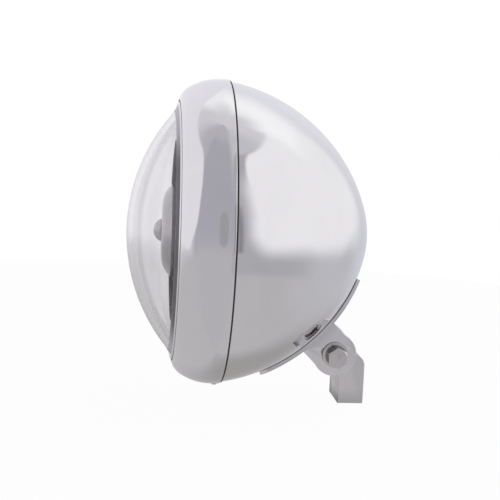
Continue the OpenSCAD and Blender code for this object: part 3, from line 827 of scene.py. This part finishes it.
# Mount
def make_saddle():
    """A piece of the flank's surface, cut to a rounded outline and given its thickness."""
    bm = bmesh.new()
    blank = flank_curve(PAD_T, SADDLE_BLANK_FROM, FLANK_TO - SADDLE_BLANK_SHORT, 60)
    geometry = wire(bm, [lamp_point(r, f) for r, f in blank], False)
    half_turn = math.radians(SADDLE_BLANK_TURN)
    axis = (0, -1, 0)
    centre = Vector((0, 0, AXIS_Z * MM))
    to_start = Matrix.Rotation(math.pi - half_turn, 3, Vector(axis))
    bmesh.ops.rotate(bm, cent=centre, matrix=to_start, verts=bm.verts)
    bmesh.ops.spin(
        bm,
        geom=geometry,
        cent=centre,
        axis=axis,
        dvec=(0, 0, 0),
        angle=2 * half_turn,
        steps=72,
        use_merge=False,
        use_duplicate=False,
    )
    a = math.radians(MOUNT_ANGLE)
    along = Vector((0, -math.cos(a), -math.sin(a)))
    across = Vector((1, 0, 0))
    r, f = flank_point(MOUNT_ANGLE)
    middle = Vector((0, SEAM_Y - f, AXIS_Z - r)) * MM
    half_w = SADDLE_W / 2

    def cut(point, normal):
        bmesh.ops.bisect_plane(
            bm,
            geom=bm.verts[:] + bm.edges[:] + bm.faces[:],
            dist=1e-7,
            plane_co=point,
            plane_no=normal,
            clear_outer=True,
            clear_inner=False,
        )

    for side in (-1, 1):
        cut(middle + across * side * half_w * MM, across * side)
    cut(middle + along * SADDLE_FORE * MM, along)
    cut(middle - along * SADDLE_AFT * MM, -along)
    corner = SADDLE_CORNER
    for side in (-1, 1):
        for reach, way in ((SADDLE_FORE, 1), (SADDLE_AFT, -1)):
            corner_c = middle + across * side * (half_w - corner) * MM + along * way * (reach - corner) * MM
            for i in range(SADDLE_CORNER_CUTS):
                t = math.radians(90 / SADDLE_CORNER_CUTS * (i + 0.5))
                out = across * side * math.cos(t) + along * way * math.sin(t)
                cut(corner_c + out * corner * MM, out)
    bmesh.ops.remove_doubles(bm, verts=bm.verts, dist=CAD_WELD)
    bmesh.ops.recalc_face_normals(bm, faces=bm.faces)
    # The plate hangs under the bowl, so its outer side looks down
    if max(bm.faces, key=lambda face: face.calc_area()).normal.z > 0:
        bmesh.ops.reverse_faces(bm, faces=bm.faces)
    mesh = bpy.data.meshes.new("saddle_pressed")
    bm.to_mesh(mesh)
    bm.free()
    mesh.shade_smooth()
    saddle = bpy.data.objects.new("saddle_pressed", mesh)
    bpy.context.scene.collection.objects.link(saddle)
    add_wall(saddle, SADDLE_T, 1)
    easing = saddle.modifiers.new("easing", "BEVEL")
    easing.width = SADDLE_T * SADDLE_EASE * MM
    easing.segments = 5
    easing.limit_method = "ANGLE"
    easing.angle_limit = math.radians(50)
    easing.profile = 0.5
    place(saddle, "lamp", MOUNT_CHROME, "saddle_plate", slot="chrome_mount")


def make_stem_and_ears():
    """The block and the clevis ears, from their solids with the edges eased."""
    stem = softened("stem_block", STEM_EASE, segments=4)
    place(stem, "stem", STEM_CHROME_PAINTED_SHADE, "stem_block", slot="chrome_mount")
    # The front faces get the darker copy of the chrome: painted shade
    second_material(stem, STEM_FRONT_PAINTED_SHADE, lambda face: face.normal.y < -FACING)
    # The plate is painted darker towards the foot, and most of all on its front: painted shade
    tint_by_height(STEM_CHROME_PAINTED_SHADE, (0.58, 0.57, 0.575), 0.013, -0.003)
    tint_by_height(STEM_FRONT_PAINTED_SHADE, (0.2, 0.195, 0.197), 0.009, 0.0015)
    ears = softened("pivot_ears", EARS_EASE)
    place(ears, "lamp", MOUNT_CHROME, "pivot_ears", slot="chrome_mount")


def make_pivot_fasteners():
    """The bolt and the flat washers, with their turned faces bright and painted shade on their sides."""
    for node_name, easing in (("pivot_bolt", BOLT_EASE), ("pivot_washers", WASHER_EASE)):
        piece = softened(node_name, easing, sharp=25.0)
        place(piece, "lamp", STAINLESS, node_name, slot="bolt_steel")
        # Their sides get the dark steel: painted shade
        second_material(piece, SIDES_PAINTED_SHADE, lambda face: abs(face.normal.x) < FACING)


make_bucket()
make_trim_ring()
make_lens()
make_seal_lip()
make_reflector()
make_shield()
make_bulb()
make_saddle()
make_stem_and_ears()
make_pivot_fasteners()

# Nodes whose shape is right as it is, which only get their finish
for node_name, finish in (
    ("rim_gasket", RUBBER),
    ("lens_seal", RUBBER),
    ("bulb_boot", RUBBER),
    ("wire_grommet", RUBBER),
    ("saddle_pad", RUBBER),
    ("trim_hook", ZINC),
    ("trim_screw", STAINLESS),
    ("trim_nut", ZINC),
    ("retaining_ring", ZINC),
    ("ring_lugs", ZINC),
    ("retaining_screws", STAINLESS),
    ("bulb_filaments", ALUMINIUM),
    ("bulb_base", ALUMINIUM),
    ("bulb_terminals", BRASS),
    ("bulb_clip", ZINC),
    ("shield_legs", SHIELD),
    ("saddle_studs", ZINC),
    ("backing_plate", ZINC),
    ("stud_washers", ZINC),
    ("stud_nuts", ZINC),
    ("spring_washer", STAINLESS),
    ("pivot_nut", STAINLESS),
):
    mesh = nodes[node_name].data
    if not mesh.materials:
        mesh.materials.append(finish)
    for i in range(len(mesh.materials)):
        mesh.materials[i] = finish


# Stage
# Each row: centre, half width, low, high, corner and softness in degrees, then the colour.
# Azimuth 0 is in front of the lamp and 90 is the camera's side. Later rows lie over earlier ones.
# The rows were placed one by one, then fitted to the photograph's chrome by a program, and rounded.
TENT = (
    (None, (0.74, 0.73, 0.76)),
    ((65, 76, 41, 121, 31, 21), (0.54, 0.53, 0.56)),
    ((-99, 44, 34, 70, 15, 13), (1.03, 1.03, 1.04)),
    ((78, 47, -16, 74.5, 6, 6), (0.465, 0.457, 0.5)),
    ((142, 28, 39, 78, 7, 15), (0.63, 0.625, 0.66)),
    ((4, 191, -131, -9.5, 3.5, 6), (0.565, 0.55, 0.565)),
    ((79, 38.5, -130, -4, 0.5, 13.5), (0.545, 0.53, 0.55)),
    ((-114, 32.5, -78, -24.5, 23, 21), (0.4, 0.385, 0.38)),
    ((151.5, 42, -23, 1, 5.5, 3), (0.485, 0.48, 0.5)),
    ((-168, 25.5, -33, 2, 0.5, 15), (0.595, 0.595, 0.625)),
    ((142, 29, 12, 58.8, 19, 1.2), (0.48, 0.47, 0.5)),
    ((165, 41.5, -8.5, 45.5, 15, 7), (0.99, 0.98, 0.995)),
    ((169, 40.5, 3, 57.8, 19.5, 1.6), (0.99, 0.98, 0.995)),
    ((-164.5, 30, -5.8, 55.5, 9.5, 6.5), (0.99, 0.98, 0.995)),
    ((-131.5, 34, 41, 62.5, 2, 8), (1.1, 1.1, 1.1)),
    ((-30, 69, -7.5, 54.5, 26.5, 1.6), (0.89, 0.87, 0.91)),
    ((-106, 26, 8, 44, 16, 15.5), (0.85, 0.85, 0.905)),
    ((116, 1.2, -8, 24, 1.2, 1.8), (0.26, 0.255, 0.265)),
    ((88.5, 8, -4, 20, 7, 2), (0.4, 0.395, 0.41)),
    ((-125.5, 15, -20, -2.5, 3, 14.5), (0.68, 0.69, 0.76)),
)

# What shows straight through the glass, by elevation in degrees
THROUGH_FROM = (-9.5, 0.69)
THROUGH_TO = (-6.5, 0.84)
BACKGROUND = 1.02  # a little over white, so that the background is clean

FLOOR_R = 0.62
FLOOR_MIDDLE = (0, -0.08, -0.0004)
FLOOR_GLOW = 0.66  # strength through the glass; the camera sees it at 1
FLOOR_WHITE = 0.965  # share of the glow, and the rest shows the shadow


def build_panel_group():
    """A soft studio panel with rounded corners, as a mask over directions given in degrees."""
    group = bpy.data.node_groups.new("studio_panel", "ShaderNodeTree")
    for name, value in (
        ("Azimuth", 0.0),
        ("Elevation", 0.0),
        ("Centre", 0.0),
        ("Half width", 30.0),
        ("Middle", 20.0),
        ("Half height", 30.0),
        ("Corner", 5.0),
        ("Softness", 4.0),
    ):
        socket = group.interface.new_socket(name, in_out="INPUT", socket_type="NodeSocketFloat")
        socket.default_value = value
    group.interface.new_socket("Mask", in_out="OUTPUT", socket_type="NodeSocketFloat")
    inlet = new_node(group, "NodeGroupInput").outputs
    outlet = new_node(group, "NodeGroupOutput")

    def maths(operation, *values):
        return maths_in(group, operation, *values)

    turn = maths("SUBTRACT", inlet["Azimuth"], inlet["Centre"])
    away = maths("ABSOLUTE", maths("WRAP", turn, 180.0, -180.0))
    over = maths("SUBTRACT", away, maths("SUBTRACT", inlet["Half width"], inlet["Corner"]))
    above = maths("ABSOLUTE", maths("SUBTRACT", inlet["Elevation"], inlet["Middle"]))
    above = maths("SUBTRACT", above, maths("SUBTRACT", inlet["Half height"], inlet["Corner"]))
    over_squared = maths("POWER", maths("MAXIMUM", over, 0.0), 2.0)
    above_squared = maths("POWER", maths("MAXIMUM", above, 0.0), 2.0)
    outside = maths("SQRT", maths("ADD", over_squared, above_squared))
    inside = maths("MINIMUM", maths("MAXIMUM", over, above), 0.0)
    distance = maths("SUBTRACT", maths("ADD", outside, inside), inlet["Corner"])
    ramp = new_node(
        group,
        "ShaderNodeMapRange",
        {"To Min": 1.0, "To Max": 0.0},
        interpolation_type="SMOOTHSTEP",
    )
    link(group, distance, ramp.inputs["Value"])
    link(group, maths("MULTIPLY", inlet["Softness"], -1.0), ramp.inputs["From Min"])
    link(group, inlet["Softness"], ramp.inputs["From Max"])
    link(group, ramp.outputs["Result"], outlet.inputs["Mask"])
    return group


def build_world():
    """The panels as seen by the object, and white as seen by the camera."""
    world = bpy.data.worlds.new("white_tent")
    bpy.context.scene.world = world
    world.use_nodes = True
    tree = world.node_tree
    tree.nodes.clear()
    panel = build_panel_group()
    coords = new_node(tree, "ShaderNodeTexCoord")
    split = new_node(tree, "ShaderNodeSeparateXYZ")
    link(tree, coords.outputs["Generated"], split.inputs[0])

    def maths(operation, *values):
        return maths_in(tree, operation, *values)

    forward = maths("MULTIPLY", split.outputs["Y"], -1.0)
    azimuth = maths("DEGREES", maths("ARCTAN2", split.outputs["X"], forward))
    elevation = maths("DEGREES", maths("ARCSINE", split.outputs["Z"]))
    colour = None
    for values, shade in TENT:
        if values is None:
            colour = new_node(tree, "ShaderNodeRGB")
            colour.outputs[0].default_value = (*shade, 1.0)
            colour = colour.outputs[0]
            continue
        mask = new_node(tree, "ShaderNodeGroup", node_tree=panel)
        link(tree, azimuth, mask.inputs["Azimuth"])
        link(tree, elevation, mask.inputs["Elevation"])
        centre, half_width, low, high, corner, soft = values
        mask.inputs["Centre"].default_value = centre
        mask.inputs["Half width"].default_value = half_width
        mask.inputs["Middle"].default_value = (low + high) / 2
        mask.inputs["Half height"].default_value = (high - low) / 2
        mask.inputs["Corner"].default_value = corner
        mask.inputs["Softness"].default_value = soft
        mix = new_node(tree, "ShaderNodeMix", data_type="RGBA")
        link(tree, mask.outputs["Mask"], mix.inputs["Factor"])
        link(tree, colour, mix.inputs["A"])
        mix.inputs["B"].default_value = (*shade, 1.0)
        colour = mix.outputs["Result"]
    tent = new_node(tree, "ShaderNodeBackground")
    link(tree, colour, tent.inputs["Color"])
    path = new_node(tree, "ShaderNodeLightPath").outputs
    straight = maths("MULTIPLY", path["Is Transmission Ray"], maths("LESS_THAN", path["Glossy Depth"], 0.5))
    through = new_node(tree, "ShaderNodeMapRange", interpolation_type="SMOOTHSTEP")
    link(tree, elevation, through.inputs["Value"])
    for name, value in zip(("From Min", "To Min", "From Max", "To Max"), THROUGH_FROM + THROUGH_TO):
        through.inputs[name].default_value = value
    white = new_node(tree, "ShaderNodeBackground", {"Color": (1, 0.99, 1, 1)})
    straight_on = maths("MULTIPLY", path["Is Camera Ray"], BACKGROUND)
    link(tree, maths("MAXIMUM", through.outputs["Result"], straight_on), white.inputs["Strength"])
    mix = new_node(tree, "ShaderNodeMixShader")
    link(tree, maths("MAXIMUM", path["Is Camera Ray"], straight), mix.inputs["Fac"])
    link(tree, tent.outputs[0], mix.inputs[1])
    link(tree, white.outputs[0], mix.inputs[2])
    output = new_node(tree, "ShaderNodeOutputWorld")
    link(tree, mix.outputs[0], output.inputs["Surface"])


def build_floor():
    """A pale disc that shows white with the object's shadow on it, and that chrome sees past."""
    bm = bmesh.new()
    bmesh.ops.create_circle(bm, cap_ends=True, segments=96, radius=FLOOR_R)
    bmesh.ops.translate(bm, verts=bm.verts, vec=FLOOR_MIDDLE)
    floor = finish_mesh(bm, "studio_floor")
    material, tree, shader = base_material("pale_floor")
    shader.inputs["Roughness"].default_value = 0.8
    shader.inputs["Specular IOR Level"].default_value = 0.1
    paper = new_node(tree, "ShaderNodeTexNoise", {"Scale": 40.0, "Detail": 3.0})
    coords = new_node(tree, "ShaderNodeTexCoord")
    link(tree, coords.outputs["Object"], paper.inputs["Vector"])
    tint = new_node(tree, "ShaderNodeMix", data_type="RGBA")
    tint.inputs["A"].default_value = (0.72, 0.715, 0.72, 1)
    tint.inputs["B"].default_value = (0.75, 0.745, 0.75, 1)
    link(tree, paper.outputs["Fac"], tint.inputs["Factor"])
    link(tree, tint.outputs["Result"], shader.inputs["Base Color"])
    path = new_node(tree, "ShaderNodeLightPath").outputs
    glow = new_node(tree, "ShaderNodeEmission", {"Color": (1, 1, 1, 1)})
    strength = maths_in(tree, "MULTIPLY_ADD", path["Is Camera Ray"], 1 - FLOOR_GLOW, FLOOR_GLOW)
    link(tree, strength, glow.inputs["Strength"])
    seen = maths_in(tree, "MAXIMUM", path["Is Camera Ray"], path["Is Transmission Ray"])
    lit = new_node(tree, "ShaderNodeMixShader")
    link(tree, maths_in(tree, "MULTIPLY", seen, FLOOR_WHITE), lit.inputs["Fac"])
    link(tree, shader.outputs["BSDF"], lit.inputs[1])
    link(tree, glow.outputs[0], lit.inputs[2])
    clear = new_node(tree, "ShaderNodeBsdfTransparent")
    passing = new_node(tree, "ShaderNodeMixShader")
    link(tree, path["Is Glossy Ray"], passing.inputs["Fac"])
    link(tree, lit.outputs[0], passing.inputs[1])
    link(tree, clear.outputs[0], passing.inputs[2])
    output = next(node for node in tree.nodes if node.type == "OUTPUT_MATERIAL")
    link(tree, passing.outputs[0], output.inputs["Surface"])
    floor.data.materials.append(material)


def build_camera():
    """The photograph's view, from the four fitted vectors."""
    data = bpy.data.cameras.new("photo_camera")
    data.sensor_width = 36.0
    data.lens = CAMERA_LENS
    data.clip_start = 0.01
    data.clip_end = 20.0
    camera = bpy.data.objects.new("photo_camera", data)
    bpy.context.scene.collection.objects.link(camera)
    back = [-value for value in CAMERA_LOOK]
    rows = zip(CAMERA_RIGHT, CAMERA_UP, back, CAMERA_AT)
    camera.matrix_world = Matrix((*rows, (0, 0, 0, 1)))
    bpy.context.scene.camera = camera


build_world()
build_floor()
build_camera()
bpy.context.scene.view_settings.view_transform = "Standard"

bpy.context.view_layer.update()
